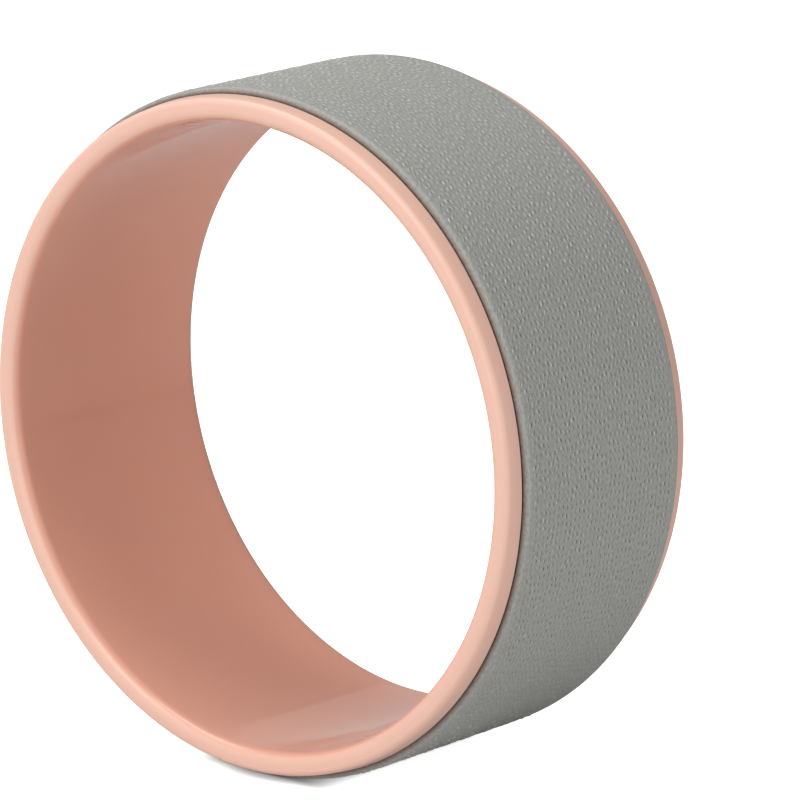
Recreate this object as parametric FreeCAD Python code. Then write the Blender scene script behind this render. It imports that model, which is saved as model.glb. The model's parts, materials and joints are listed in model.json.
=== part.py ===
import FreeCAD, Part
import math
import os

# Yoga wheel: a turned plastic hoop with a foam strip glued into a shallow channel round its outside.
# Sizes are millimetres. The wheel's axis is Y, Z points up, and the origin is the wheel's centre.

# The wheel as a whole
TREAD_DIAMETER = 320.0
WHEEL_WIDTH = 125.0

# The hoop: its wall and the bare rims that stand beside the channel
RIM_WALL = 11.4
RIM_LAND = 9.0
LAND_FALL = 1.1
CHANNEL_DEPTH = 3.0
BORE_EDGE_ROUND = 5.5
RIM_EDGE_ROUND = 3.0
BORE_ROUND_WALL_SHARE = 0.55
RIM_ROUND_WALL_SHARE = 0.40

# The foam strip, wrapped once round the channel, and the film of glue under it
PAD_THICKNESS = 6.0
PAD_SIDE_GAP = 0.5
PAD_EDGE_ROUND = 1.5
GLUE_THICKNESS = 0.2
GLUE_MARGIN = 1.5

# The butt seam where the two ends of the strip meet
SEAM_ANGLE = 205.0
SEAM_GAP = 0.3
SEAM_GROOVE_WIDTH = 1.6
SEAM_GROOVE_DEPTH = 0.8

# Cutting shapes run past what they cut by this much
OVERRUN = 2.0

# Radii and half widths that follow from the sizes above
tread_radius = TREAD_DIAMETER / 2
seat_radius = tread_radius - PAD_THICKNESS
floor_radius = seat_radius - GLUE_THICKNESS
rim_radius = floor_radius + CHANNEL_DEPTH
shoulder_radius = rim_radius - LAND_FALL
bore_radius = rim_radius - RIM_WALL
half_width = WHEEL_WIDTH / 2
channel_half = half_width - RIM_LAND
pad_half = channel_half - PAD_SIDE_GAP
glue_half = pad_half - GLUE_MARGIN
groove_bottom_radius = tread_radius - SEAM_GROOVE_DEPTH

CENTRE = FreeCAD.Vector(0, 0, 0)
WHEEL_AXIS = FreeCAD.Vector(0, 1, 0)
FULL_TURN = 360.0


def rounded_outline(corners):
    """Closed wire through corners given as (radius, along the axis, rounding), with tangent arcs."""
    points = [FreeCAD.Vector(radius, along, 0) for radius, along, rounding in corners]
    stretches = []
    for index, corner in enumerate(points):
        rounding = corners[index][2]
        back = (points[index - 1] - corner).normalize()
        ahead = (points[(index + 1) % len(points)] - corner).normalize()
        half_angle = back.getAngle(ahead) / 2
        reach = rounding / math.tan(half_angle)
        inset = rounding / math.sin(half_angle) - rounding
        middle = corner + (back + ahead).normalize() * inset
        stretches.append((corner + back * reach, middle, corner + ahead * reach, rounding > 0))
    edges = []
    for index, (start, middle, end, is_round) in enumerate(stretches):
        if is_round:
            edges.append(Part.Arc(start, middle, end).toShape())
        following = stretches[(index + 1) % len(stretches)][0]
        edges.append(Part.LineSegment(end, following).toShape())
    return Part.Wire(edges)


def ring_of(side_corners):
    """Solid of revolution from the corners of one side, repeated on the other side of the wheel."""
    mirrored = [(radius, -along, rounding) for radius, along, rounding in reversed(side_corners)]
    section = Part.Face(rounded_outline(side_corners + mirrored))
    return section.revolve(CENTRE, WHEEL_AXIS, FULL_TURN)


def at_seam(shape):
    """Turns a shape made on the +X side to the seam, by an angle measured from +X towards +Z."""
    return shape.rotated(CENTRE, WHEEL_AXIS, -SEAM_ANGLE)


def seam_wall(inner_radius, outer_radius, half_length):
    """Flat wall as thick as the seam, standing across the wheel between two radii."""
    corner = FreeCAD.Vector(inner_radius, -half_length, -SEAM_GAP / 2)
    wall = Part.makeBox(outer_radius - inner_radius, 2 * half_length, SEAM_GAP, corner)
    return at_seam(wall)


def seam_groove():
    """V-shaped bar that eases the two ends of the strip where they meet at the tread."""
    half_mouth = SEAM_GROOVE_WIDTH / 2 * (SEAM_GROOVE_DEPTH + OVERRUN) / SEAM_GROOVE_DEPTH
    start = -pad_half - OVERRUN
    bottom = FreeCAD.Vector(groove_bottom_radius, start, 0)
    upper = FreeCAD.Vector(tread_radius + OVERRUN, start, half_mouth)
    lower = FreeCAD.Vector(tread_radius + OVERRUN, start, -half_mouth)
    section = Part.Face(Part.makePolygon([bottom, upper, lower, bottom]))
    return at_seam(section.extrude(WHEEL_AXIS * (2 * (pad_half + OVERRUN))))


def make_hoop():
    """One-piece ring: round bore, two bare rims that taper to eased edges, and the channel between."""
    bore_round = min(BORE_EDGE_ROUND, RIM_WALL * BORE_ROUND_WALL_SHARE)
    rim_round = min(RIM_EDGE_ROUND, RIM_WALL * RIM_ROUND_WALL_SHARE)
    return ring_of([
        (bore_radius, half_width, bore_round),
        (shoulder_radius, half_width, rim_round),
        (rim_radius, channel_half, 0),
        (floor_radius, channel_half, 0),
    ])


def make_glue_film():
    """Glue layer on the channel's floor, which also stands up between the ends of the strip."""
    film = ring_of([
        (floor_radius, glue_half, 0),
        (seat_radius, glue_half, 0),
    ])
    web = seam_wall(floor_radius + GLUE_THICKNESS / 2, groove_bottom_radius, glue_half)
    return film.fuse(web).removeSplitter()


def make_foam_pad():
    """Foam strip bent into a ring, with rounded shoulders and an eased butt seam."""
    strip = ring_of([
        (seat_radius, pad_half, 0),
        (tread_radius, pad_half, PAD_EDGE_ROUND),
    ])
    slot = seam_wall(seat_radius - OVERRUN, tread_radius + OVERRUN, pad_half + OVERRUN)
    return strip.cut(slot).cut(seam_groove())


PIECES = {
    "hoop": make_hoop(),
    "glue_film": make_glue_film(),
    "foam_pad": make_foam_pad(),
}

os.makedirs("parts", exist_ok=True)
for node, shape in PIECES.items():
    shape.exportStep(f"parts/{node}.step")
    box = shape.BoundBox
    print(
        f"{node}: {len(shape.Solids)} solid, valid {shape.isValid()}, volume {shape.Volume:.0f} mm3,"
        f" box {box.XLength:.2f} x {box.YLength:.2f} x {box.ZLength:.2f} mm"
    )
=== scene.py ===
# %% [markdown]
# A yoga wheel, made step by step.
# The wheel is a wide hoop of glossy salmon-pink plastic with a strip of grey foam glued round its
# outside. The measured solids are loaded first and stay where they are: they fix every size below.
# The new meshes could be fitted to them by eye, but building each one from the same numbers keeps
# the looks and the real sizes together. The wheel's axis is Y, Z points up, and the origin is the
# wheel's centre.

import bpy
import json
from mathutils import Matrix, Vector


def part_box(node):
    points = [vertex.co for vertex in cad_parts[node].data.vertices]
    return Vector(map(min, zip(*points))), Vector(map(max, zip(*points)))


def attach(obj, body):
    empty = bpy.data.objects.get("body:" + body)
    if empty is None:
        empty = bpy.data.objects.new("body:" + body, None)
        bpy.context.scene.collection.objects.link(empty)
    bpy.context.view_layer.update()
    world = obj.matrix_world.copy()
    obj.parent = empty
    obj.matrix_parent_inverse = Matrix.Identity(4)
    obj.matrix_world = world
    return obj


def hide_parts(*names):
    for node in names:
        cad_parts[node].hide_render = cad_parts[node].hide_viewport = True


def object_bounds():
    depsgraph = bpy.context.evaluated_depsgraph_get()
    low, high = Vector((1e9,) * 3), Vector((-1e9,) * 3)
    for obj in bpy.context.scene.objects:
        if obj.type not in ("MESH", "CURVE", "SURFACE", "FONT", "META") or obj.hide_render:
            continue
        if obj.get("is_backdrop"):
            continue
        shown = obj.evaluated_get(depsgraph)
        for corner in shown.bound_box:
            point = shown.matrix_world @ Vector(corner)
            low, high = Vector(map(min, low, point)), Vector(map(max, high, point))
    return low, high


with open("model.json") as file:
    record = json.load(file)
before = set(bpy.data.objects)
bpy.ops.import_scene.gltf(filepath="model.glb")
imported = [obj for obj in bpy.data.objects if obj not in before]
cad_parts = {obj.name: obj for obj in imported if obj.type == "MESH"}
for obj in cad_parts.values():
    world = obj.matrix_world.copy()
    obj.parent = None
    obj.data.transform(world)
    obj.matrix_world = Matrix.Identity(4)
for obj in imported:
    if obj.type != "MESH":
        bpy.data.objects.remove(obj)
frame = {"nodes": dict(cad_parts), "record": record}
cad_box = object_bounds()
print("measured pieces:", sorted(frame["nodes"]))

# %% [markdown]
# Blender works in metres, but a wheel maker thinks in millimetres, so the sizes are kept in
# millimetres and turned into metres only when a mesh is made. What the measured wheel already says
# is read from it and not typed again: the bore and the width from its mounts, the rest from the
# boxes round its pieces.

# %% Sizes read from the measured wheel
import json
import math

import bpy
import numpy as np

MM = 0.001
mounts = {mount["name"]: mount for mount in frame["record"]["mounts"]}
bore_radius = mounts["bore"]["dims"]["r_mm"]
half_width = -mounts["front_rim"]["pos_m"][1] / MM
tread_radius = -mounts["tread"]["pos_m"][2] / MM
rim_radius = round(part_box("hoop")[1].x / MM, 1)
seat_radius = round(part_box("glue_film")[1].x / MM, 1)
pad_half = round(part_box("foam_pad")[1].y / MM, 1)
print(f"bore {bore_radius}, rim {rim_radius}, tread {tread_radius}, half width {half_width} mm")

# %% [markdown]
# The camera comes before any shape, because every comparison with the photograph needs the same
# viewpoint. It stands to the front right of the wheel and a little above it. A long lens from a few
# metres away gives the gentle perspective of a product photograph. The camera is first pointed at
# the wheel's centre and then turned slightly to the right and up, which frames the wheel left of
# the middle without any lens shift.

# %% Camera
from mathutils import Euler, Vector

CAMERA_AZIMUTH = math.radians(41.612)
CAMERA_ELEVATION = math.radians(14.363)
CAMERA_DISTANCE = 2.749
CAMERA_TURN_RIGHT = math.radians(0.6225)
CAMERA_TURN_UP = math.radians(0.1411)
CAMERA_LENS = 269.4
CAMERA_SENSOR = 36.0


def direction(azimuth, elevation):
    """Points from the wheel's centre to a place round it: azimuth 0 is the front, then to the right."""
    level = math.cos(elevation)
    return Vector((level * math.sin(azimuth), -level * math.cos(azimuth), math.sin(elevation)))


towards_camera = direction(CAMERA_AZIMUTH, CAMERA_ELEVATION)
camera_data = bpy.data.cameras.new("camera")
camera_data.lens = CAMERA_LENS
camera_data.sensor_width = CAMERA_SENSOR
camera = bpy.data.objects.new("camera", camera_data)
bpy.context.collection.objects.link(camera)
bpy.context.scene.camera = camera
look = (-towards_camera).to_track_quat("-Z", "Y")
small_turn = Euler((CAMERA_TURN_UP, -CAMERA_TURN_RIGHT, 0)).to_quaternion()
camera.location = towards_camera * CAMERA_DISTANCE
camera.rotation_mode = "QUATERNION"
camera.rotation_quaternion = look @ small_turn
bpy.context.scene.view_settings.view_transform = "Standard"
print(f"camera {CAMERA_DISTANCE} m away, {camera_data.lens} mm lens")

# %% [markdown]
# Materials in Blender are small networks of nodes. Writing each connection out in full hides what
# the network does, so a few helpers keep it short. One gives an input a plain value or plugs another
# node into it, one adds a node with all its inputs, and one does sums. The last two start a material
# and plug its finished shader in.

# %% Helpers for materials


def set_input(tree, socket, value):
    """Gives an input a plain value, or plugs another node's output into it."""
    if isinstance(value, bpy.types.NodeSocket):
        tree.links.new(value, socket)
    else:
        socket.default_value = value


def add_node(tree, kind, settings=None, **inputs):
    """Adds one node. Settings are its own options, inputs are values or other nodes' outputs."""
    node = tree.nodes.new(kind)
    for option, value in (settings or {}).items():
        setattr(node, option, value)
    for socket_name, value in inputs.items():
        set_input(tree, node.inputs[socket_name.replace("_", " ")], value)
    return node


def add_math(tree, operation, first, second):
    """A Math node: each of its two values is a number or another node's output."""
    node = add_node(tree, "ShaderNodeMath", {"operation": operation})
    set_input(tree, node.inputs[0], first)
    set_input(tree, node.inputs[1], second)
    return node.outputs[0]


def new_material(name):
    """A material with an empty node tree, ready for its shader."""
    material = bpy.data.materials.new(name)
    material.use_nodes = True
    material.node_tree.nodes.clear()
    return material, material.node_tree


def use_shader(tree, shader):
    """Plugs a finished shader into the material's surface."""
    add_node(tree, "ShaderNodeOutputMaterial", Surface=shader)


print("material helpers ready")

# %% [markdown]
# The stage is a pale floor under a plain sky, as in a light tent. A floor lit brightly enough to look
# pure white would also flood the wheel with light. So the floor is an ordinary pale matte surface for
# the light that bounces off it, and gets a glow on top only where the camera sees it, also through
# glass, or where a mirror image shows it. Mirror images get only a small share of the glow, because
# the real bore mirrors a floor that is far from glaring. Right beside the wheel the glow fades, as
# real light from above would, so the dark line where the wheel touches the floor stays.

# %% Floor paint
FLOOR_SHADE = (0.71, 0.71, 0.71, 1)
FLOOR_GLOW = 0.9
FLOOR_MIRROR_SHARE = 0.03
CONTACT_REACH = 0.005
WHITE = (1, 1, 1, 1)


def seen_directly(tree, mirror_share):
    """1 where the camera sees the surface, a share of it in mirror images, 0 for all other light."""
    light_path = add_node(tree, "ShaderNodeLightPath").outputs
    mirrored = add_math(tree, "MULTIPLY", light_path["Is Glossy Ray"], mirror_share)
    seen = add_math(tree, "MAXIMUM", light_path["Is Camera Ray"], light_path["Is Transmission Ray"])
    return add_math(tree, "MAXIMUM", seen, mirrored)


floor_paint, tree = new_material("floor_paint")
matte = add_node(tree, "ShaderNodeBsdfDiffuse", Color=FLOOR_SHADE)
openness = add_node(tree, "ShaderNodeAmbientOcclusion", Distance=CONTACT_REACH).outputs["AO"]
glow_level = add_math(tree, "MULTIPLY", seen_directly(tree, FLOOR_MIRROR_SHARE), FLOOR_GLOW)
glow_level = add_math(tree, "MULTIPLY", glow_level, openness)
glow = add_node(tree, "ShaderNodeEmission", Color=WHITE, Strength=glow_level)
both = add_node(tree, "ShaderNodeAddShader")
set_input(tree, both.inputs[0], matte.outputs[0])
set_input(tree, both.inputs[1], glow.outputs[0])
use_shader(tree, both.outputs[0])
print(f"floor paint glows by {FLOOR_GLOW} where it is seen")

# %% Floor
FLOOR_HALF_SIDE = 6.0
UNIT_SQUARE = ((-1, -1), (1, -1), (1, 1), (-1, 1))

floor_height = -tread_radius * MM
floor_corners = [(x * FLOOR_HALF_SIDE, y * FLOOR_HALF_SIDE, floor_height) for x, y in UNIT_SQUARE]
floor_mesh = bpy.data.meshes.new("floor")
floor_mesh.from_pydata(floor_corners, [], [(0, 1, 2, 3)])
floor_mesh.materials.append(floor_paint)
floor = bpy.data.objects.new("floor", floor_mesh)
bpy.context.collection.objects.link(floor)
floor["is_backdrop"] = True
print(f"floor at {floor_height:.3f} m")

# %% [markdown]
# The sky is white where the camera sees it, which makes the plain background, and lights the wheel only
# faintly. The glossy bore mirrors whatever stands round the wheel, so in mirror images the sky is dull
# like the walls of a studio, apart from one bright panel at the left behind. A panel of real geometry
# would also light the wheel, so this one is a part of the sky, found by its direction.

# %% Sky
SKY_LIGHT = 0.1
SKY_MIRROR_SHARE = 0.3
PANEL_MIRROR_SHARE = 0.62
PANEL_EDGE = -0.545
PANEL_EDGE_BLUR = 0.005


def map_range(tree, value, start, end, low=0, high=1):
    """Turns a measure that runs from start to end into one that runs from low to high."""
    node = add_node(tree, "ShaderNodeMapRange", Value=value, From_Min=start, From_Max=end,
                    To_Min=low, To_Max=high)
    return node.outputs[0]


sky = bpy.data.worlds.new("sky")
sky.use_nodes = True
tree = sky.node_tree
tree.nodes.clear()
towards = add_node(tree, "ShaderNodeTexCoord").outputs["Generated"]
sideways = add_node(tree, "ShaderNodeSeparateXYZ", Vector=towards).outputs["X"]
mirror_share = map_range(tree, sideways, PANEL_EDGE - PANEL_EDGE_BLUR, PANEL_EDGE + PANEL_EDGE_BLUR,
                         PANEL_MIRROR_SHARE, SKY_MIRROR_SHARE)
sky_level = map_range(tree, seen_directly(tree, mirror_share), 0, 1, SKY_LIGHT, 1)
sky_shade = add_node(tree, "ShaderNodeBackground", Color=WHITE, Strength=sky_level)
add_node(tree, "ShaderNodeOutputWorld", Surface=sky_shade.outputs[0])
bpy.context.scene.world = sky
print(f"sky light {SKY_LIGHT}, mirrored at {SKY_MIRROR_SHARE} and its panel at {PANEL_MIRROR_SHARE}")

# %% [markdown]
# The sky alone would light the wheel evenly from all sides and leave it flat. Four soft boxes, lamps
# behind white cloth, give it form. The strong one stands in front and brightens the face of the rim,
# while its light only grazes the foam and the bore, so the inside stays darker. A low one beside it
# rakes across the foam on the right and brings out the grip pattern. The other two fill the right and
# the upper left. Lamps much wider than the wheel have no hard shadow edges.

# %% Soft boxes
SOFT_BOX_DISTANCE = 2.6
SOFT_BOXES = {
    "front_box": {"azimuth": -6, "elevation": 40, "side": 1.6, "watts": 39.5},
    "raking_box": {"azimuth": 14, "elevation": 5, "side": 0.8, "watts": 15},
    "right_box": {"azimuth": 97, "elevation": 8, "side": 1.6, "watts": 26},
    "upper_left_box": {"azimuth": -80, "elevation": 64, "side": 1.6, "watts": 34},
}


def soft_box(name, azimuth, elevation, side, watts):
    """A square lamp that faces the wheel, placed by its direction in degrees as seen from the wheel."""
    data = bpy.data.lights.new(name, "AREA")
    data.size = side
    data.energy = watts
    lamp = bpy.data.objects.new(name, data)
    lamp.location = SOFT_BOX_DISTANCE * direction(math.radians(azimuth), math.radians(elevation))
    lamp.rotation_euler = (-lamp.location).to_track_quat("-Z", "Y").to_euler()
    bpy.context.collection.objects.link(lamp)


for name, settings in SOFT_BOXES.items():
    soft_box(name, **settings)
    print(f"{name}: {settings['watts']} W")

# %% [markdown]
# The hoop is one ring of plastic. On the real wheel it is cut from thick-walled tube and turned, so
# its outline is a section swept round the axis: a round bore with eased edges, two bare lands that
# fall a little towards the faces, and a shallow channel between them for the foam, with a small round
# lip. Blender's Screw or Spin tools could sweep it, but with the points worked out in code the number
# of steps and the slight unevenness of the bore stay under control. The roundings are arcs, each made
# by one helper.

# %% Section of the hoop
RIM_LAND = 9.0
LAND_FALL = 1.1
GLUE_THICKNESS = 0.2
BORE_EDGE_ROUND = 5.5
RIM_EDGE_ROUND = 3.0
LIP_ROUND = 0.35
ARC_STEPS = 10
BORE_STEPS = 16

channel_half = half_width - RIM_LAND
floor_radius = seat_radius - GLUE_THICKNESS
land_slope = math.atan2(LAND_FALL, RIM_LAND)
land_degrees = math.degrees(land_slope)


def corner_arc(centre_radius, centre_along, rounding, start_degrees, end_degrees, steps):
    """Points of an arc in the section, as (radius, along the axis), by angles from the radius."""
    angles = np.radians(np.linspace(start_degrees, end_degrees, steps + 1))
    radii = centre_radius + rounding * np.cos(angles)
    return np.column_stack([radii, centre_along + rounding * np.sin(angles)])


def under_land(along, rounding):
    """Radius for the centre of an arc at a place along the axis, if it is to touch the sloping land."""
    inward = rounding + (along - channel_half) * math.sin(land_slope)
    return rim_radius - inward / math.cos(land_slope)


bore_half = half_width - BORE_EDGE_ROUND
edge_half = half_width - RIM_EDGE_ROUND
lip_half = channel_half + LIP_ROUND
edge_radius = under_land(edge_half, RIM_EDGE_ROUND)
lip_radius = under_land(lip_half, LIP_ROUND)
bore_line = np.linspace(-bore_half, bore_half, BORE_STEPS + 1)
bore_wall = np.column_stack([np.full_like(bore_line, bore_radius), bore_line])
back_rim = np.vstack([
    corner_arc(bore_radius + BORE_EDGE_ROUND, bore_half, BORE_EDGE_ROUND, 180, 90, ARC_STEPS)[1:],
    corner_arc(edge_radius, edge_half, RIM_EDGE_ROUND, 90, land_degrees, ARC_STEPS),
    corner_arc(lip_radius, lip_half, LIP_ROUND, land_degrees, -90, ARC_STEPS // 2),
    [(floor_radius, channel_half)],
])
front_rim = back_rim[::-1] * (1, -1)
hoop_section = np.vstack([bore_wall, back_rim, front_rim])
print(f"hoop section: {len(hoop_section)} points, lands slope by {land_degrees:.1f} degrees")

# %% [markdown]
# Tube is pushed through a ring-shaped die, and its bore keeps faint ripples that run along the axis.
# They are far too shallow to see as a shape, but they break up the mirror images in the glossy
# bore, as the real wheel shows. They could be painted as bump, but a bump can't bend a large
# reflection smoothly. So the bore's points move in and out by a few hundredths of a millimetre, in
# a sum of waves round the wheel. The waves fade out towards the two mouths, which are turned true.

# %% Ripples in the bore
TURN_STEPS = 960
RIPPLE_COUNTS = (14, 23, 37, 58, 83)
RIPPLE_SLOPE = 0.0022
RIPPLE_DRIFT = 0.06
RIPPLE_SEED = 11
RIPPLE_FADE_POWER = 4
TRUE_EDGE = 14.0

ripple_dice = np.random.default_rng(RIPPLE_SEED)


def ripples(angle, along):
    """Height of the ripples in millimetres, by angle round the wheel and place along the axis."""
    height = np.zeros(np.broadcast(angle, along).shape)
    for count in RIPPLE_COUNTS:
        phase = ripple_dice.uniform(0, 2 * math.pi)
        drift = ripple_dice.uniform(-1, 1) * RIPPLE_DRIFT
        height += RIPPLE_SLOPE * bore_radius / count * np.sin(count * angle + phase + drift * along)
    return height


turn_angles = np.linspace(0, 2 * math.pi, TURN_STEPS, endpoint=False)[:, None]
section_radii, section_along = hoop_section.T
from_mouth = np.clip((half_width - np.abs(section_along)) / TRUE_EDGE, 0, 1)
from_rim = np.clip((rim_radius - section_radii) / (rim_radius - bore_radius), 0, 1)
ripple_share = from_mouth * from_rim**RIPPLE_FADE_POWER
hoop_radii = section_radii + ripple_share * ripples(turn_angles, section_along)
print(f"ripples move the bore by up to {np.abs(hoop_radii - section_radii).max():.3f} mm")

# %% [markdown]
# The section is repeated at every step of a full turn, and each face joins two points of one section
# to two points of the next. Nearly a thousand steps may seem many, but in a glossy bore the mirror
# images would show the corners of a coarser ring.

# %% Hoop


def mesh_object(name, points_mm, faces):
    """A mesh object with soft shading, from points in millimetres."""
    mesh = bpy.data.meshes.new(name)
    mesh.from_pydata((np.asarray(points_mm) * MM).tolist(), [], faces)
    mesh.polygons.foreach_set("use_smooth", np.full(len(mesh.polygons), True))
    mesh.update()
    made = bpy.data.objects.new(name, mesh)
    bpy.context.collection.objects.link(made)
    return made


def on_wheel(radius, along, angle):
    """Points of the wheel from radius, place along the axis and angle from +X towards +Z."""
    return np.stack([radius * np.cos(angle), along + 0 * angle, radius * np.sin(angle)], -1)


def ring_faces(steps, count):
    """Quads of a closed section swept all the way round."""
    for step in range(steps):
        here, there = step * count, (step + 1) % steps * count
        for point in range(count):
            following = (point + 1) % count
            yield here + point, here + following, there + following, there + point


hoop_points = on_wheel(hoop_radii, section_along, turn_angles + 0 * section_radii).reshape(-1, 3)
hoop = mesh_object("plastic_hoop", hoop_points, list(ring_faces(TURN_STEPS, len(hoop_section))))
print(f"hoop: {len(hoop.data.polygons)} faces")

# %% [markdown]
# The same few steps come back in every finish: a blend of two colours, a noise, and how far a
# point lies from the wheel's axis or from its middle plane. The distances come from the point's place
# on the wheel itself, so a finish stays where it is from whichever side the wheel is seen.

# %% Helpers for finishes
MIX_COLOUR_INPUTS = (0, 6, 7)
MIX_COLOUR_OUTPUT = 2
FLAT_ALONG_AXIS = (1, 0, 1)


def mix_colours(tree, share, first, second):
    """Blends two colours: the first at a share of 0, the second at 1."""
    node = add_node(tree, "ShaderNodeMix", {"data_type": "RGBA"})
    for number, value in zip(MIX_COLOUR_INPUTS, (share, first, second)):
        set_input(tree, node.inputs[number], value)
    return node.outputs[MIX_COLOUR_OUTPUT]


def noise(tree, place, settings):
    """A soft random pattern between 0 and 1, by its scale and detail."""
    return add_node(tree, "ShaderNodeTexNoise", Vector=place, **settings).outputs["Fac"]


def distance_from_axis(tree, place):
    """How far a point lies from the wheel's axis, in metres."""
    flat = add_node(tree, "ShaderNodeMapping", Vector=place, Scale=FLAT_ALONG_AXIS).outputs[0]
    return add_node(tree, "ShaderNodeVectorMath", {"operation": "LENGTH"}, Vector=flat).outputs["Value"]


def distance_from_middle(tree, place):
    """How far a point lies from the wheel's middle plane, in metres."""
    along_axis = add_node(tree, "ShaderNodeSeparateXYZ", Vector=place).outputs["Y"]
    return add_math(tree, "ABSOLUTE", along_axis, 0)


print("finish helpers ready")

# %% [markdown]
# The plastic is smooth and glossy, with a salmon-pink colour right through. A single flat colour
# would look like a toy in a drawing program. The real one has faint clouds in its colour. It is paler
# on the rims, where the skin of the tube was turned away, and that paler colour also carries a painted
# sheen: the whiter look of the highlight on the rim faces. The distance from the axis tells the bore
# and the rims apart.

# %% Colour of the plastic
PLASTIC_COLOUR = (0.83, 0.425, 0.31, 1)
PLASTIC_DEEP_COLOUR = (0.81, 0.405, 0.295, 1)
PLASTIC_CLOUDS = {"Scale": 14.0, "Detail": 2.0}
TURNED_AND_SHEEN_COLOUR = (0.83, 0.51, 0.405, 1)
TURNED_BLEND = 2.5

glossy_plastic, tree = new_material("glossy_plastic")
place = add_node(tree, "ShaderNodeTexCoord").outputs["Object"]
clouds = noise(tree, place, PLASTIC_CLOUDS)
tube_colour = mix_colours(tree, clouds, PLASTIC_COLOUR, PLASTIC_DEEP_COLOUR)
turned_radius = bore_radius + TURNED_BLEND
turned = map_range(tree, distance_from_axis(tree, place), bore_radius * MM, turned_radius * MM)
# Paler on the rims: the turned surface, and a painted sheen in its colour.
plastic_colour = mix_colours(tree, turned, tube_colour, TURNED_AND_SHEEN_COLOUR)
print(f"plastic is paler beyond {turned_radius:.1f} mm from the axis")

# %% [markdown]
# The gloss is uneven too. The die leaves fine streaks along the axis: noise that is drawn out along it
# drives the roughness and a very shallow bump. The turned rims are duller than the bore, and the
# mouths of the bore are slightly worn by hands and feet. The index of refraction is the same all over,
# so it is a plain number on the shader.

# %% Gloss of the plastic
DIE_STREAKS = {"Scale": 260.0, "Detail": 3.0}
STREAK_STRETCH = (1, 0.04, 1)
STREAK_BUMP = {"Strength": 0.06, "Distance": 0.0004}
STREAK_DULLNESS = (0.04, 0.08)
TURNED_DULLNESS = 0.32
MOUTH_DEPTH = 45.0
MOUTH_DULLNESS = 0.22
PLASTIC_IOR = 1.45

drawn_out = add_node(tree, "ShaderNodeMapping", Vector=place, Scale=STREAK_STRETCH).outputs[0]
streaks = noise(tree, drawn_out, DIE_STREAKS)
streaked = map_range(tree, streaks, 0, 1, *STREAK_DULLNESS)
unworn = add_math(tree, "ADD", streaked, add_math(tree, "MULTIPLY", turned, TURNED_DULLNESS))
worn = map_range(tree, distance_from_middle(tree, place), (half_width - MOUTH_DEPTH) * MM,
                 half_width * MM, 0, MOUTH_DULLNESS)
dullness = add_math(tree, "MAXIMUM", unworn, worn)
shallow = add_node(tree, "ShaderNodeBump", Height=streaks, **STREAK_BUMP).outputs[0]
plastic_shader = add_node(tree, "ShaderNodeBsdfPrincipled", Base_Color=plastic_colour,
                          Roughness=dullness, Normal=shallow, IOR=PLASTIC_IOR)
use_shader(tree, plastic_shader.outputs[0])
hoop.data.materials.append(glossy_plastic)
print("hoop finished in glossy plastic")

# %% [markdown]
# The foam strip has a grip pattern pressed into it while the foam is soft: short strokes in columns,
# one raised and the next one sunk, in herringbone rows. A few columns lean one way, the next few the
# other way. The pattern could be a bump in the material, but the strokes are real shapes that catch
# the light, so they are modelled. Their places are worked out on the flat strip, as it is before it
# is wrapped: across it towards the back rim, and along it. Plain margins stay at its edges and ends.

# %% Places of the strokes
COLUMN_PITCH = 1.5
ROW_PITCH = 3.8
LEAN_COLUMNS = 4
COLUMN_STEP = 0.5
ROW_SHIFT = 0.8
BARE_MARGIN = 5.0
END_MARGIN = 3.0
SEAM_GAP = 0.3
STROKE_SEED = 29

stroke_dice = np.random.default_rng(STROKE_SEED)
strip_length = 2 * math.pi * tread_radius - SEAM_GAP
column_count = int(2 * (pad_half - BARE_MARGIN) / COLUMN_PITCH) + 1
row_count = int(strip_length / ROW_PITCH) + 1
row, column = np.mgrid[:row_count, :column_count]
fold_place = column % (2 * LEAN_COLUMNS)
lean_sign = np.where(fold_place < LEAN_COLUMNS, 1, -1)
climb = COLUMN_STEP * np.where(lean_sign > 0, fold_place, 2 * LEAN_COLUMNS - fold_place)
row_shift = stroke_dice.uniform(-ROW_SHIFT, ROW_SHIFT, (row_count, 1))
stroke_across = (column - (column_count - 1) / 2) * COLUMN_PITCH + row_shift
stroke_along = row * ROW_PITCH + climb
kept = (stroke_along > END_MARGIN) & (stroke_along < strip_length - END_MARGIN)
centres = np.stack([stroke_across, stroke_along], -1)[kept]
print(f"strip {strip_length:.1f} mm long with {len(centres)} strokes in {column_count} columns")

# %% [markdown]
# The strokes are boldest at the places of a wide diamond grid and fade between them, so that from a
# step away the eye sees rows of little leaves. Pressed foam is never quite regular, so dice shift,
# turn and stretch each stroke a little. Dice in a script need a fixed seed, or every run would make
# another strip. The sizes leave room between neighbouring strokes.

# %% Rise, size and lean of each stroke
STROKE_WIDTHS = (0.5, 0.7)
STROKE_LENGTHS = (2.0, 2.8)
STROKE_LEANS = (8, 18)
STROKE_SHIFTS = (0.08, 0.2)
STROKE_RISE = 0.42
FAINT_SHARE = 0.2
LEAF_GRID = (14.0, 16.8)

stroke_count = len(centres)
leaf_waves = np.cos(2 * math.pi * centres / LEAF_GRID)
boldness = FAINT_SHARE + (1 - FAINT_SHARE) * (1 + leaf_waves.prod(axis=1)) / 2
rises = STROKE_RISE * boldness * np.where(column[kept] % 2 == 0, 1, -1)
centres = centres + stroke_dice.uniform(-1, 1, (stroke_count, 2)) * STROKE_SHIFTS
widths = stroke_dice.uniform(*STROKE_WIDTHS, stroke_count)
lengths = stroke_dice.uniform(*STROKE_LENGTHS, stroke_count)
leans = np.radians(stroke_dice.uniform(*STROKE_LEANS, stroke_count)) * lean_sign[kept]
print(f"{np.sum(rises > 0)} strokes raised and {np.sum(rises < 0)} sunk, by up to {STROKE_RISE} mm")

# %% [markdown]
# Each stroke gets two outlines, its foot level with the foam and a smaller crown above or below it,
# and the ring between the two is its sloping wall. Both are one six-sided unit shape, scaled and
# turned for all strokes at once.

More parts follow.
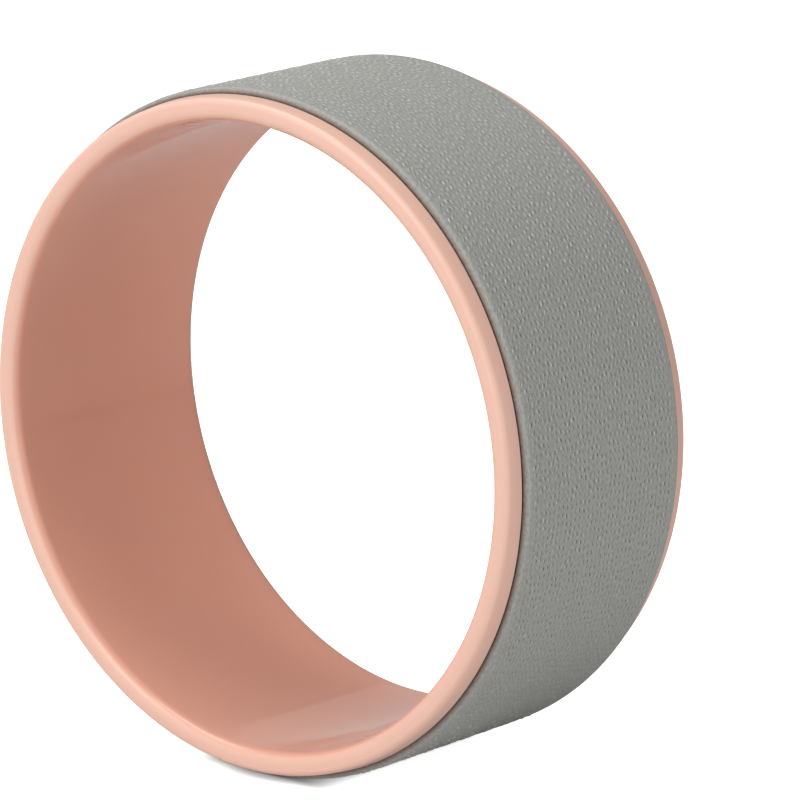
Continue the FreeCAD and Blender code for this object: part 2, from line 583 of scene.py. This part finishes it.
# %% Foot and crown of each stroke
CROWN_SHARES = (0.5, 0.75)
UNIT_STROKE = np.array([(0, -0.5), (0.5, -0.36), (0.5, 0.36), (0, 0.5), (-0.5, 0.36), (-0.5, -0.36)])

foot = UNIT_STROKE * np.column_stack([widths, lengths])[:, None]
upright = np.concatenate([foot, foot * CROWN_SHARES], axis=1)
cosine, sine = np.cos(leans)[:, None], np.sin(leans)[:, None]
stamp_across = upright[..., 0] * cosine + upright[..., 1] * sine + centres[:, :1]
stamp_along = upright[..., 1] * cosine - upright[..., 0] * sine + centres[:, 1:]
stamp_height = np.repeat(np.column_stack([0 * rises, rises]), len(UNIT_STROKE), axis=1)
stamps = np.stack([stamp_across, stamp_along, stamp_height], -1)
print(f"{stamps.shape[0]} strokes with {stamps.shape[1]} points each")

# %% [markdown]
# The strip's edges have round shoulders, the front one softer than the back one, and its two ends,
# which meet at the seam, are eased in the same way. The border of the patterned sheet therefore needs
# regular points: along the shoulders at the stations where the sides will join, and in close rows
# near the ends where the foam drops into the seam.

# %% Border of the patterned sheet
FRONT_EDGE_ROUND = 3.0
BACK_EDGE_ROUND = 1.5
END_EASE = 0.8
EASE_STEPS = 4
STATION_COUNT = 260
BORDER_COLUMNS = 32

pad_radius = tread_radius - STROKE_RISE
front_shoulder = FRONT_EDGE_ROUND - pad_half
back_shoulder = pad_half - BACK_EDGE_ROUND
ease_turn = np.linspace(0, math.pi / 2, EASE_STEPS + 1)
ease_places = END_EASE * (1 - np.cos(ease_turn))
middle_places = np.linspace(END_EASE, strip_length - END_EASE, STATION_COUNT)[1:-1]
stations = np.concatenate([ease_places, middle_places, strip_length - ease_places[::-1]])
border_columns = np.linspace(front_shoulder, back_shoulder, BORDER_COLUMNS)


def end_drop(along):
    """How far the foam is eased down at a place along the strip, near its two ends."""
    from_end = np.minimum(along, strip_length - along)
    short = np.clip(END_EASE - from_end, 0, END_EASE)
    return END_EASE - np.sqrt(END_EASE**2 - short**2)


side_border = [(side, along) for side in (front_shoulder, back_shoulder) for along in stations]
end_rows = np.concatenate([ease_places, strip_length - ease_places])
end_border = [(across, along) for along in end_rows for across in border_columns[1:-1]]
border_points = np.array(side_border + end_border)
print(f"{len(stations)} stations along the strip, {len(border_points)} border points")

# %% [markdown]
# All these points become one skin. Blender can triangulate a flat set of points in a way that keeps
# given lines as edges, called a constrained Delaunay triangulation. Every foot and crown outline is
# given as such a line, so each stroke gets clean walls and a flat crown, and the skin has no gaps or
# overlaps. A fine grid pushed up by a texture would need ten times the faces for strokes this small.

# %% Triangulate the patterned skin
from mathutils.geometry import delaunay_2d_cdt

CLOSE_ENOUGH = 1e-6

outline_size = len(UNIT_STROKE)
loop_starts = np.arange(0, stamps.shape[0] * stamps.shape[1], outline_size)
step_in_loop = np.arange(outline_size)
loop_from = loop_starts[:, None] + step_in_loop
loop_to = loop_starts[:, None] + (step_in_loop + 1) % outline_size
outline_edges = np.stack([loop_from, loop_to], -1).reshape(-1, 2)

level_points = np.column_stack([border_points, np.zeros(len(border_points))])
skin_flat = np.vstack([stamps.reshape(-1, 3), level_points])
skin_input = [Vector(point[:2]) for point in skin_flat]
made = delaunay_2d_cdt(skin_input, outline_edges.tolist(), [], 0, CLOSE_ENOUGH)
skin_faces, skin_sources = made[2], made[3]
skin_flat = skin_flat[[source[0] for source in skin_sources]]
print(f"skin: {len(skin_flat)} points, {len(skin_faces)} triangles")

# %% [markdown]
# Now the strip is wrapped. Its place along the strip becomes an angle that starts at the seam. Each
# side runs from the seat against the glue up round the shoulder, and it is slightly undercut, as foam
# is where it was cut with a slanted blade. That leaves the narrow dark gap beside the rim.

# %% Wrap the strip round the hoop
SEAM_ANGLE = math.radians(205)
FRONT_SLANT = 26
BACK_SLANT = 10


def wrapped(across, along, radius):
    """Points of the wrapped strip from places on the flat one."""
    return on_wheel(radius, across, SEAM_ANGLE + (along + SEAM_GAP / 2) / tread_radius)


def pad_side(facing, rounding, slant):
    """Points of one side of the strip, from the seat up round the shoulder, for every station."""
    lowest = 90 + slant
    shoulder = corner_arc(pad_radius - rounding, pad_half - rounding, rounding, lowest, 0, ARC_STEPS)
    slant_height = shoulder[0, 0] - seat_radius
    foot_half = shoulder[0, 1] - slant_height * math.tan(math.radians(slant))
    profile = np.vstack([[(seat_radius, foot_half)], shoulder])
    slopes = np.radians(np.concatenate([[90], np.linspace(lowest, 0, ARC_STEPS + 1)]))
    drop = end_drop(stations)[:, None]
    radius = profile[:, 0] - drop * np.cos(slopes)
    across = facing * (profile[:, 1] - drop * np.sin(slopes))
    return wrapped(across, stations[:, None] + 0 * across, radius)


skin_across, skin_along, skin_height = skin_flat.T
skin_points = wrapped(skin_across, skin_along, pad_radius + skin_height - end_drop(skin_along))
front_side = pad_side(-1, FRONT_EDGE_ROUND, FRONT_SLANT)
back_side = pad_side(1, BACK_EDGE_ROUND, BACK_SLANT)
print(f"sides: {front_side.shape[1]} points at each of {front_side.shape[0]} stations")

# %% [markdown]
# The rest of the strip is plain: quads between the stations make its seat, and one flat face closes
# each end. All the parts are then collected in one list of points and one list of faces, in which the
# points on their common borders are still there twice.

# %% Parts of the strip


def grid_faces(rows, columns):
    """Quads of a grid of points, row after row."""
    for row in range(rows - 1):
        for column in range(columns - 1):
            corner = row * columns + column
            yield corner, corner + 1, corner + columns + 1, corner + columns


def end_loop(station):
    """Points round the flat end of the strip at its first or last station."""
    across = border_columns[1:-1]
    top_edge = wrapped(across, stations[station] + 0 * across, pad_radius - END_EASE)
    return np.vstack([front_side[station], top_edge, back_side[station][::-1]])


station_count, side_count = front_side.shape[:2]
seat_strip = np.stack([front_side[:, 0], back_side[:, 0]], axis=1)
strip_parts = [(skin_points, skin_faces)]
for side in (front_side, back_side):
    strip_parts.append((side.reshape(-1, 3), grid_faces(station_count, side_count)))
strip_parts.append((seat_strip.reshape(-1, 3), grid_faces(station_count, 2)))
for station in (0, -1):
    loop = end_loop(station)
    strip_parts.append((loop, [tuple(range(len(loop)))]))
print(f"{len(strip_parts)} parts to join")

# %% Join the parts of the strip
strip_points, strip_faces = [], []
for points, faces in strip_parts:
    first = sum(map(len, strip_points))
    strip_points.append(points)
    strip_faces += [tuple(first + corner for corner in face) for face in faces]
foam_strip = mesh_object("foam_strip", np.vstack(strip_points), strip_faces)
print(f"foam strip: {len(strip_faces)} faces before welding")

# %% [markdown]
# Points that lie in the same place are welded, which makes a single closed solid that could be printed
# as it is. That is tested: in a closed solid every edge has exactly two faces. Soft shading would
# smear the strokes into the foam around them, so the line where a stroke's wall meets the foam is
# marked as sharp, and its crown stays soft. A layer of numbers on the points says how far each one is
# raised or sunk, and it is removed afterwards.

# %% Weld the strip and mark its crisp lines
import bmesh

WELD_DISTANCE = 1e-6
SHARP_TURN = math.radians(75)

level_layer = foam_strip.data.attributes.new("level", "FLOAT", "POINT")
levels = np.zeros(len(foam_strip.data.vertices), np.float32)
levels[:len(skin_height)] = skin_height
level_layer.data.foreach_set("value", levels)

shape = bmesh.new()
shape.from_mesh(foam_strip.data)
bmesh.ops.remove_doubles(shape, verts=shape.verts, dist=WELD_DISTANCE)
bmesh.ops.recalc_face_normals(shape, faces=shape.faces)
level = shape.verts.layers.float["level"]
for edge in shape.edges:
    at_foot = edge.verts[0][level] == 0 and edge.verts[1][level] == 0
    walls = sum(any(corner[level] != 0 for corner in face.verts) for face in edge.link_faces)
    edge.smooth = not (at_foot and walls == 1) and edge.calc_face_angle(0) < SHARP_TURN
open_edges = sum(len(edge.link_faces) != 2 for edge in shape.edges)
shape.to_mesh(foam_strip.data)
shape.free()
foam_strip.data.attributes.remove(foam_strip.data.attributes["level"])
print(f"foam strip: {len(foam_strip.data.polygons)} faces, {open_edges} open edges")

# %% [markdown]
# A flat map of the surface lets the finish be painted into pictures, for programs that can't read
# Blender's nodes. Blender can cut such a map by itself, but it would make a tiny island of every
# stroke.
# The strip has a better one by nature: the flat sheet that it was before it was wrapped, with its
# sides folded out. The sheet is long and narrow, so it is cut into nine lengths that lie in three
# rows. The hidden seat and the two ends go in narrow bands above them.

# %% Places on the flat sheet
mesh = foam_strip.data
places = np.empty(3 * len(mesh.vertices), np.float32)
corners = np.empty(len(mesh.loops), np.int32)
face_sizes = np.empty(len(mesh.polygons), np.int32)
mesh.vertices.foreach_get("co", places)
mesh.loops.foreach_get("vertex_index", corners)
mesh.polygons.foreach_get("loop_total", face_sizes)

x, across, z = places.reshape(-1, 3)[corners].T / MM
radius = np.hypot(x, z)
along = (np.arctan2(z, x) - SEAM_ANGLE) % (2 * math.pi) * tread_radius - SEAM_GAP / 2
depth = pad_radius - radius
on_sides = [across <= front_shoulder, across >= back_shoulder]
girth = across + np.select(on_sides, [-depth, depth], 0)
print(f"flat sheet {np.ptp(along):.0f} mm long and {np.ptp(girth):.1f} mm wide with its sides")

# %% Nine lengths in three rows
MAP_ROWS = 3
MAP_GUTTER = 4.0

first_corners = np.cumsum(face_sizes) - face_sizes
face_along = np.add.reduceat(along, first_corners) / face_sizes
cut_length = strip_length / MAP_ROWS**2
cut = np.repeat(np.minimum(face_along // cut_length, MAP_ROWS**2 - 1), face_sizes)
cell_width = cut_length + 2 * MAP_GUTTER
cell_height = np.ptp(girth) + 2 * MAP_GUTTER
map_right = along - cut * cut_length + MAP_GUTTER + cut % MAP_ROWS * cell_width
map_up = girth - girth.min() + MAP_GUTTER + cut // MAP_ROWS * cell_height
print(f"each length {cut_length:.1f} mm long, in a cell of {cell_width:.1f} by {cell_height:.1f} mm")

# %% Bands for the seat and the ends
MAP_NAME = "OFBake"
SEAT_BAND = 4.0
LARGEST_PLAIN_FACE = 4

share_along = along / strip_length
share_across = across / (2 * pad_half) + 1 / 2
seat_base = MAP_ROWS * cell_height
ends_base = seat_base + SEAT_BAND + MAP_GUTTER
map_side = ends_base + pad_radius - seat_radius
top_radius = np.repeat(np.maximum.reduceat(radius, first_corners), face_sizes)
in_seat = top_radius < seat_radius + GLUE_THICKNESS
in_ends = np.repeat(face_sizes > LARGEST_PLAIN_FACE, face_sizes)
end_right = (share_across + np.round(share_along)) * map_side / 2
end_up = ends_base + radius - seat_radius
seat_right = share_along * map_side
seat_up = seat_base + share_across * SEAT_BAND
map_right = np.select([in_ends, in_seat], [end_right, seat_right], map_right)
map_up = np.select([in_ends, in_seat], [end_up, seat_up], map_up)
strip_map = np.column_stack([map_right, map_up]) / map_side
mesh.uv_layers.new(name=MAP_NAME).uv.foreach_set("vector", strip_map.astype(np.float32).ravel())
print(f"flat map {map_side:.0f} mm wide, from {strip_map.min():.3f} to {strip_map.max():.3f}")

# %% [markdown]
# The foam is a dense elastomer with a matte grey skin. The strip is cut to width after it is pressed.
# Its cut sides are painted darker and browner than the skin. This is a painted shade with a warm bounce
# from the pink rim, and deep in the gap beside the rim it turns to a dark painted shadow. The distance
# from the wheel's axis tells how deep a point lies. It drives the blend from the painted shadow in the
# gap, to the painted shade of the cut side, and on to the skin.

# %% Colours of the foam, with painted shade on the cut sides
FOAM_COLOUR = (0.360, 0.362, 0.338, 1)
FOAM_LIGHT_COLOUR = (0.382, 0.384, 0.359, 1)
FOAM_CLOUDS = {"Scale": 55.0, "Detail": 4.0}
CUT_SIDE_PAINTED_SHADE_COLOUR = (0.300, 0.268, 0.236, 1)
GAP_PAINTED_SHADOW_COLOUR = (0.040, 0.022, 0.012, 1)
CUT_SIDE_DEPTH = 1.2
GAP_SHADOW_DEPTH = 3.3

matte_foam, tree = new_material("matte_foam")
place = add_node(tree, "ShaderNodeTexCoord").outputs["Object"]
clouds = noise(tree, place, FOAM_CLOUDS)
skin_colour = mix_colours(tree, clouds, FOAM_COLOUR, FOAM_LIGHT_COLOUR)
sunk_radius = (pad_radius - STROKE_RISE) * MM
cut_side_radius = (pad_radius - CUT_SIDE_DEPTH) * MM
gap_shadow_radius = (pad_radius - GAP_SHADOW_DEPTH) * MM
from_axis = distance_from_axis(tree, place)
# Painted shadow deep in the gap, then painted warm shade on the cut sides, then the skin.
out_of_gap_shadow = map_range(tree, from_axis, gap_shadow_radius, cut_side_radius)
painted_side_shade = mix_colours(tree, out_of_gap_shadow, GAP_PAINTED_SHADOW_COLOUR, CUT_SIDE_PAINTED_SHADE_COLOUR)
on_skin = map_range(tree, from_axis, cut_side_radius, sunk_radius)
skin_and_painted_side_colour = mix_colours(tree, on_skin, painted_side_shade, skin_colour)
print(f"foam skin from {sunk_radius / MM:.2f} mm outwards, cut sides below it")

# %% [markdown]
# The skin gets a painted highlight on the raised strokes and a painted shade in the sunk ones. The same
# distance tells how high a point lies, from -1 at the bottom of the deepest sunk stroke to 1 at the top
# of the highest raised one, and that height drives the painted shade round 1. The eased ends at the
# seam lie deepest and get the darkest painted shade. The shoulders lie low without being sunk, so they
# keep a shade of 1.

# %% Painted highlight and shade of the strokes
RAISED_PAINTED_HIGHLIGHT = 0.42
SUNK_PAINTED_SHADE = 0.85

# Painted highlight on raised strokes, painted shade on sunk ones and at the eased seam ends.
height = map_range(tree, from_axis, sunk_radius, tread_radius * MM, -1, 1)
paler = add_math(tree, "MULTIPLY", add_math(tree, "MAXIMUM", height, 0), RAISED_PAINTED_HIGHLIGHT)
darker = add_math(tree, "MULTIPLY", add_math(tree, "MINIMUM", height, 0), SUNK_PAINTED_SHADE)
patterned = add_math(tree, "LESS_THAN", distance_from_middle(tree, place), -front_shoulder * MM)
painted_relief_shade = add_math(tree, "MULTIPLY", add_math(tree, "ADD", paler, darker), patterned)
painted_relief_shade = add_math(tree, "ADD", painted_relief_shade, 1)
print(f"strokes shaded from {1 - SUNK_PAINTED_SHADE:.2f} to {1 + RAISED_PAINTED_HIGHLIGHT:.2f}")

# %% [markdown]
# Up close there is a fine grain that runs along the strip: noise on the strip's own coordinates, the
# place across it and the angle round the wheel. The angle jumps where a full turn ends, so the
# coordinates are turned until that jump lies at the seam. The grain drives a painted shade, darker in
# its pits and paler on its ridges, as well as the roughness and a bump.

# %% Grain of the foam
GRAIN_WIDTH = 0.9
GRAIN_LENGTH = 2.2
GRAIN_NOISE = {"Scale": 1.0, "Detail": 1.0}
GRAIN_BUMP = {"Strength": 1.0, "Distance": 0.0005}
GRAIN_RANGE = (0.3, 0.7)
GRAIN_PAINTED_SHADES = (0.86, 1.14)
GRAIN_DULLNESS = (0.62, 0.82)
FOAM_IOR = 1.45

from_seam = add_node(tree, "ShaderNodeMapping", Vector=place,
                     Rotation=(0, SEAM_ANGLE - math.pi, 0)).outputs[0]
sides = add_node(tree, "ShaderNodeSeparateXYZ", Vector=from_seam).outputs
turn = add_math(tree, "ARCTAN2", sides["Z"], sides["X"])
across_grain = add_math(tree, "DIVIDE", sides["Y"], GRAIN_WIDTH * MM)
along_grain = add_math(tree, "MULTIPLY", turn, tread_radius / GRAIN_LENGTH)
on_strip = add_node(tree, "ShaderNodeCombineXYZ", X=across_grain, Y=along_grain).outputs[0]
grain = noise(tree, on_strip, GRAIN_NOISE)
# Painted shade in the grain's pits, painted highlight on its ridges.
painted_grain_shade = map_range(tree, grain, *GRAIN_RANGE, *GRAIN_PAINTED_SHADES)
dullness = map_range(tree, grain, 0, 1, *GRAIN_DULLNESS)
skin_grain = add_node(tree, "ShaderNodeBump", Height=grain, **GRAIN_BUMP).outputs[0]
shaded = add_node(tree, "ShaderNodeVectorMath", {"operation": "SCALE"}, Vector=skin_and_painted_side_colour,
                  Scale=add_math(tree, "MULTIPLY", painted_relief_shade, painted_grain_shade))
foam_shader = add_node(tree, "ShaderNodeBsdfPrincipled", Base_Color=shaded.outputs[0],
                       Roughness=dullness, Normal=skin_grain, IOR=FOAM_IOR)
use_shader(tree, foam_shader.outputs[0])
foam_strip.data.materials.append(matte_foam)
print("foam strip finished in matte foam")

# %% [markdown]
# A thin film of contact glue holds the strip in the channel and stands up a little between its two
# ends. Almost all of it is hidden, but it is a real piece, and it shows as a dark amber line deep in
# the seam. Its measured shape is right as it is, so it only gets a finish: amber, brushed on
# unevenly, half glossy.

# %% Glue finish
GLUE_COLOUR = (0.42, 0.33, 0.20, 1)
GLUE_DARK_COLOUR = (0.25, 0.18, 0.09, 1)
BRUSH_NOISE = {"Scale": 180.0, "Detail": 5.0}
BRUSH_STRETCH = (1, 4, 1)
BRUSH_BUMP = {"Strength": 0.4, "Distance": 0.0002}
GLUE_DULLNESS = (0.25, 0.55)

amber_glue, tree = new_material("amber_glue")
place = add_node(tree, "ShaderNodeTexCoord").outputs["Object"]
brushed = add_node(tree, "ShaderNodeMapping", Vector=place, Scale=BRUSH_STRETCH).outputs[0]
brush_marks = noise(tree, brushed, BRUSH_NOISE)
glue_colour = mix_colours(tree, brush_marks, GLUE_COLOUR, GLUE_DARK_COLOUR)
dullness = map_range(tree, brush_marks, 0, 1, *GLUE_DULLNESS)
ridges = add_node(tree, "ShaderNodeBump", Height=brush_marks, **BRUSH_BUMP).outputs[0]
glue_shader = add_node(tree, "ShaderNodeBsdfPrincipled", Base_Color=glue_colour,
                       Roughness=dullness, Normal=ridges)
use_shader(tree, glue_shader.outputs[0])
glue_film = frame["nodes"]["glue_film"]
glue_film.data.materials.clear()
glue_film.data.materials.append(amber_glue)
print("glue film finished in amber glue")

# %% [markdown]
# Last, each piece is tied to the measured wheel. Nothing on this wheel moves against anything else,
# so all of it rides on the one root body. The two new meshes take the place of the measured hoop and
# pad, which are hidden. The boxes of the measured and the finished wheel are printed side by side.

for piece, node, slot in ((hoop, "hoop", "hoop_plastic"), (foam_strip, "foam_pad", "pad_foam")):
    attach(piece, "root")
    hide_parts(node)

boxes = {"cad": cad_box, "visual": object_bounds()}
for name, (low, high) in boxes.items():
    print(name, "box in mm:", [round(side / MM, 2) for side in high - low])
